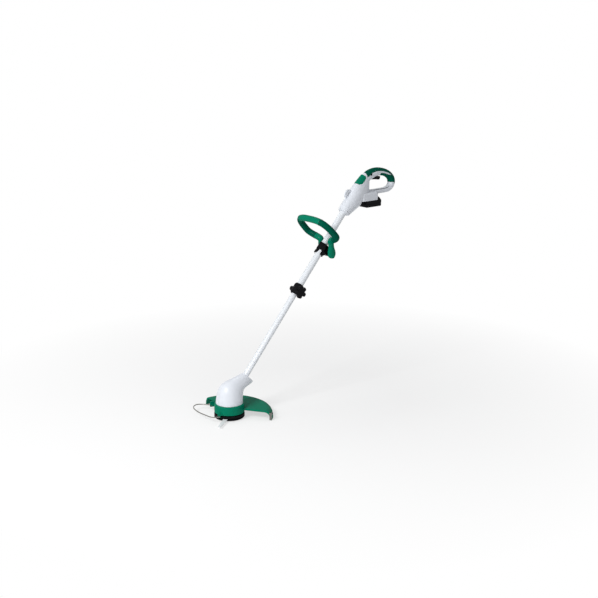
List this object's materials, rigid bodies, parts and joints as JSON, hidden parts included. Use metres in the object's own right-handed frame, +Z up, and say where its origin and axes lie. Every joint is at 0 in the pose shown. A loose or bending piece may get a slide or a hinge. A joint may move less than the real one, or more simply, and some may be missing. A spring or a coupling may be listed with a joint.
{
  "type": "cordless brush cutter",
  "caption": "Cordless brush cutter: angled motor head with plastic blades and a guard, telescopic shaft, loop front handle, D-shaped rear handle and slide-on battery.",
  "frame": {"origin": "centre of the flat glide face under the cutter, on the spindle's axis", "axes": "+Z up along the cutter's spindle, -X the working direction away from the user, +Y the machine's right side; the shaft rises towards +X at 49.5 degrees to the ground"},
  "size_m": [0.9611, 0.3047, 0.8953],
  "materials": {
    "white_plastic": "fine satin",
    "green_plastic": "gloss",
    "green_rubber": "matt",
    "black_plastic": "satin",
    "coated_pipe": "gloss coat",
    "steel": "satin",
    "cutting_nylon": "satin",
    "motor_winding": "enamelled"
  },
  "bodies": {
    "handle_unit": {"upper_pipe": "coated_pipe", "length_collar": "black_plastic", "loop_clamp_upper": "black_plastic", "loop_clamp_lower": "black_plastic", "loop_clamp_screw_1": "steel", "loop_clamp_screw_2": "steel", "rear_housing_left": "white_plastic", "rear_housing_right": "white_plastic", "front_cap": "green_plastic", "top_grip": "green_rubber", "strap_hanger": "white_plastic", "switch_body": "black_plastic", "terminal_block": "black_plastic", "trigger_pin": "steel", "rear_housing_screw_1": "steel", "rear_housing_screw_2": "steel", "rear_housing_screw_3": "steel", "rear_housing_screw_4": "steel"},
    "lower_unit": {"lower_pipe": "coated_pipe", "motor_housing_left": "white_plastic", "motor_housing_right": "white_plastic", "motor_can": "steel", "motor_end_plate": "black_plastic", "lower_bearing": "steel", "upper_bearing": "steel", "guard": "green_plastic", "guard_screw_1": "steel", "guard_screw_2": "steel", "guard_screw_3": "steel", "motor_housing_screw_1": "steel", "motor_housing_screw_2": "steel", "motor_housing_screw_3": "steel"},
    "cutter": {"spindle": "steel", "armature": "motor_winding", "cooling_fan": "black_plastic", "cutter_hub": "black_plastic", "cutter_cover": "black_plastic", "hub_nut": "black_plastic", "blade_pin_a": "steel", "blade_pin_b": "steel"},
    "blade_a": {"blade_a": "cutting_nylon"},
    "blade_b": {"blade_b": "cutting_nylon"},
    "wire_guard": {"wire_guard": "steel"},
    "length_knob": {"length_knob": "black_plastic", "length_knob_bolt": "steel"},
    "loop_handle": {"loop_tube": "green_plastic", "loop_sleeve_left": "green_rubber", "loop_sleeve_right": "green_rubber", "loop_bolt": "steel", "loop_nut": "steel"},
    "trigger": {"trigger": "black_plastic"},
    "lock_button": {"lock_button": "black_plastic"},
    "battery": {"battery_case_lower": "black_plastic", "battery_case_upper": "black_plastic"},
    "battery_button": {"battery_button": "black_plastic"}
  },
  "joints": [
    {"name": "length_adjust", "type": "slide", "parent": "handle_unit", "child": "lower_unit", "axis": [-0.6494, 0, -0.7604], "range_m": [-0.2, 0.08]},
    {"name": "spindle_spin", "type": "hinge", "parent": "lower_unit", "child": "cutter", "pos_m": [0, 0, 0.03], "axis": [0, 0, 1], "continuous": true},
    {"name": "blade_a_swing", "type": "hinge", "parent": "cutter", "child": "blade_a", "pos_m": [-0.03625, -0.02832, 0.0095], "axis": [0, 0, 1], "range_deg": [-80, 80]},
    {"name": "blade_b_swing", "type": "hinge", "parent": "cutter", "child": "blade_b", "pos_m": [0.03625, 0.02832, 0.0095], "axis": [0, 0, 1], "range_deg": [-80, 80]},
    {"name": "wire_guard_flip", "type": "hinge", "parent": "lower_unit", "child": "wire_guard", "pos_m": [-0.0395, 0.0395, 0.022], "axis": [0.3673, 0.9301, 0], "range_deg": [0, 75]},
    {"name": "knob_turn", "type": "hinge", "parent": "handle_unit", "child": "length_knob", "pos_m": [0.33187, -0.028, 0.44657], "axis": [0, -1, 0], "range_deg": [-180, 180]},
    {"name": "loop_tilt", "type": "hinge", "parent": "handle_unit", "child": "loop_handle", "pos_m": [0.48847, 0, 0.57912], "axis": [0, 1, 0], "range_deg": [-30, 35]},
    {"name": "trigger_pull", "type": "hinge", "parent": "handle_unit", "child": "trigger", "pos_m": [0.716, 0, 0.858], "axis": [0, -1, 0], "range_deg": [0, 8], "stiffness_Nm_per_rad": 0.5, "springref_deg": -8.59},
    {"name": "lock_push", "type": "slide", "parent": "handle_unit", "child": "lock_button", "axis": [0, 1, 0], "range_m": [0, 0.0018], "stiffness_N_per_m": 300, "springref_m": -0.002},
    {"name": "battery_slide", "type": "slide", "parent": "handle_unit", "child": "battery", "axis": [1, 0, 0], "range_m": [0, 0.09]},
    {"name": "battery_release", "type": "slide", "parent": "battery", "child": "battery_button", "axis": [0, 0, -1], "range_m": [0, 0.0025], "stiffness_N_per_m": 500, "springref_m": -0.002}
  ]
}
